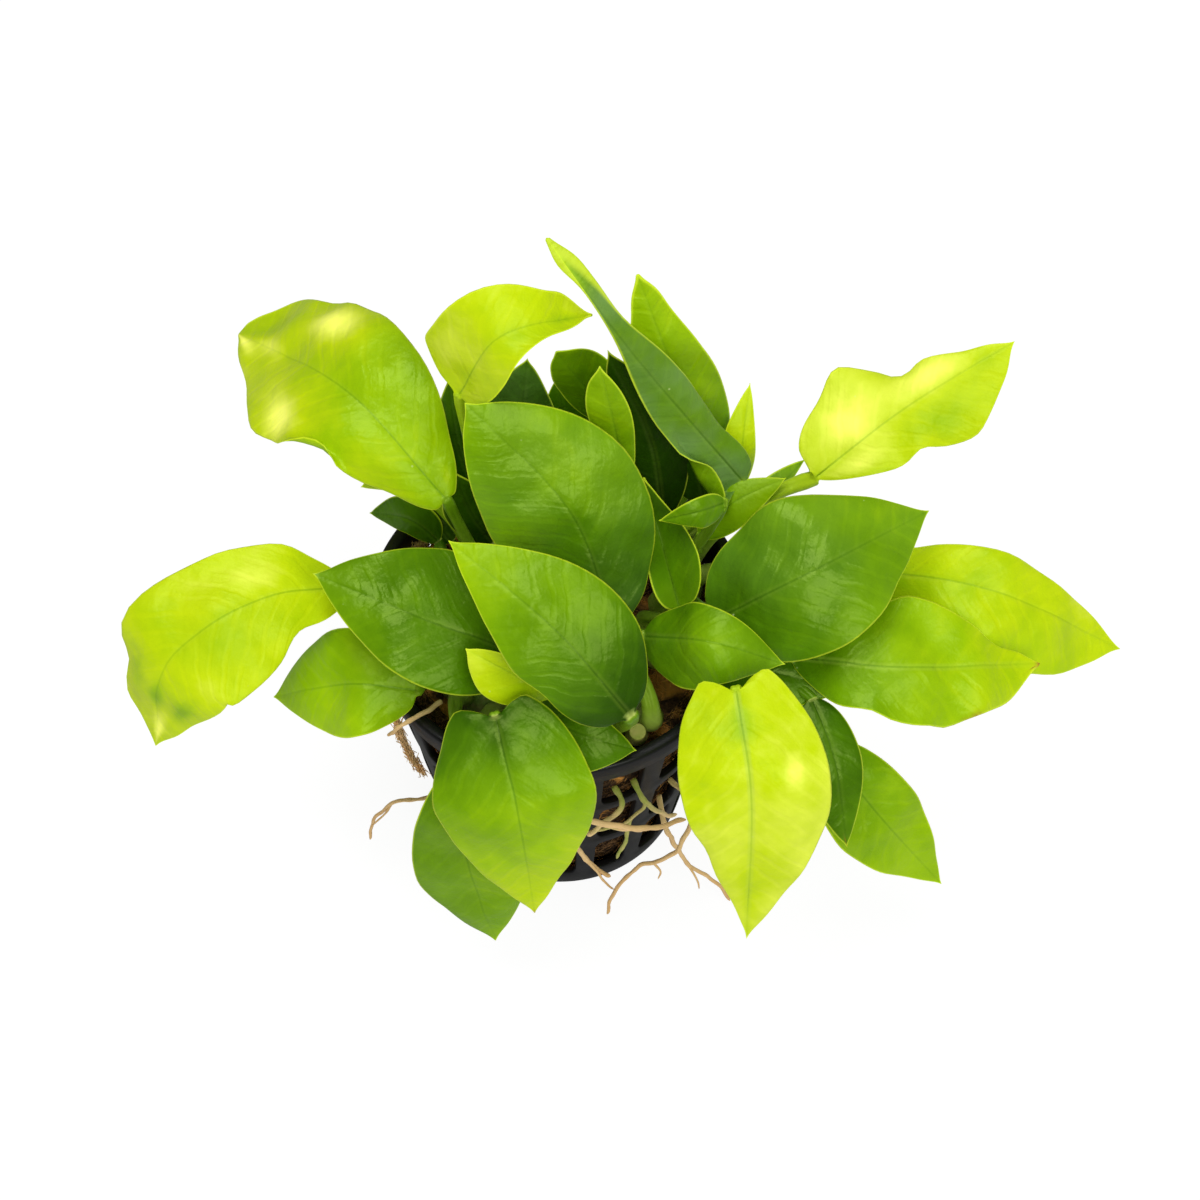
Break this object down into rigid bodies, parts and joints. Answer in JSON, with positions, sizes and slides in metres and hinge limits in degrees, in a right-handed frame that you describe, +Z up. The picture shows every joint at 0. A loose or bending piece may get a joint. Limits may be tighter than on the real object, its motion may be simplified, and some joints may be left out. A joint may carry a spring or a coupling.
{
  "type": "potted anubias",
  "caption": "Broad-leaved anubias water plant rooted in wool in a black slotted net pot, which stands on its flat base.",
  "frame": {"origin": "middle of the net pot's flat underside, on the surface that it stands on", "axes": "+Z up along the pot's axis; -Y towards the front, the side that the picture shows; +X to the right seen from there"},
  "size_m": [0.1391, 0.0867, 0.107],
  "materials": {
    "black_plastic": "satin",
    "brown_wool": "matte",
    "rhizome": "satin",
    "lime_leaf": "satin",
    "fresh_leaf": "satin",
    "deep_leaf": "satin",
    "green_root": "satin",
    "tan_root": "matte"
  },
  "bodies": {
    "root": {"leaf_back_dark_one": "deep_leaf", "leaf_back_dark_two": "deep_leaf", "leaf_back_gold": "lime_leaf", "leaf_centre_big": "deep_leaf", "leaf_centre_front": "fresh_leaf", "leaf_far_left": "lime_leaf", "leaf_far_right": "lime_leaf", "leaf_front_big": "fresh_leaf", "leaf_front_right": "lime_leaf", "leaf_front_shade": "deep_leaf", "leaf_front_under": "fresh_leaf", "leaf_inner_curled": "fresh_leaf", "leaf_inner_dark": "deep_leaf", "leaf_inner_left": "deep_leaf", "leaf_inner_wavy": "fresh_leaf", "leaf_left_dark": "deep_leaf", "leaf_left_small_one": "deep_leaf", "leaf_left_small_two": "lime_leaf", "leaf_low_dark": "deep_leaf", "leaf_low_right": "fresh_leaf", "leaf_lower_left": "fresh_leaf", "leaf_pale_edge": "lime_leaf", "leaf_right_arch": "fresh_leaf", "leaf_right_dark": "deep_leaf", "leaf_right_wavy": "fresh_leaf", "leaf_right_young": "fresh_leaf", "leaf_small_gold": "lime_leaf", "leaf_tall": "deep_leaf", "leaf_tall_back": "fresh_leaf", "leaf_upper_gold": "lime_leaf", "leaf_upper_left": "fresh_leaf", "leaf_upper_right": "lime_leaf", "leaf_upper_small": "fresh_leaf", "net_pot": "black_plastic", "petiole_stub": "fresh_leaf", "rhizome_front": "rhizome", "rhizome_left": "rhizome", "rhizome_right": "rhizome", "root_far_left": "tan_root", "root_green_left": "green_root", "root_green_right": "green_root", "root_over_rim": "tan_root", "root_tan_across": "tan_root", "root_tan_down": "tan_root", "root_tan_low": "tan_root", "root_tan_right": "tan_root", "wool_plug": "brown_wool"}
  },
  "joints": []
}
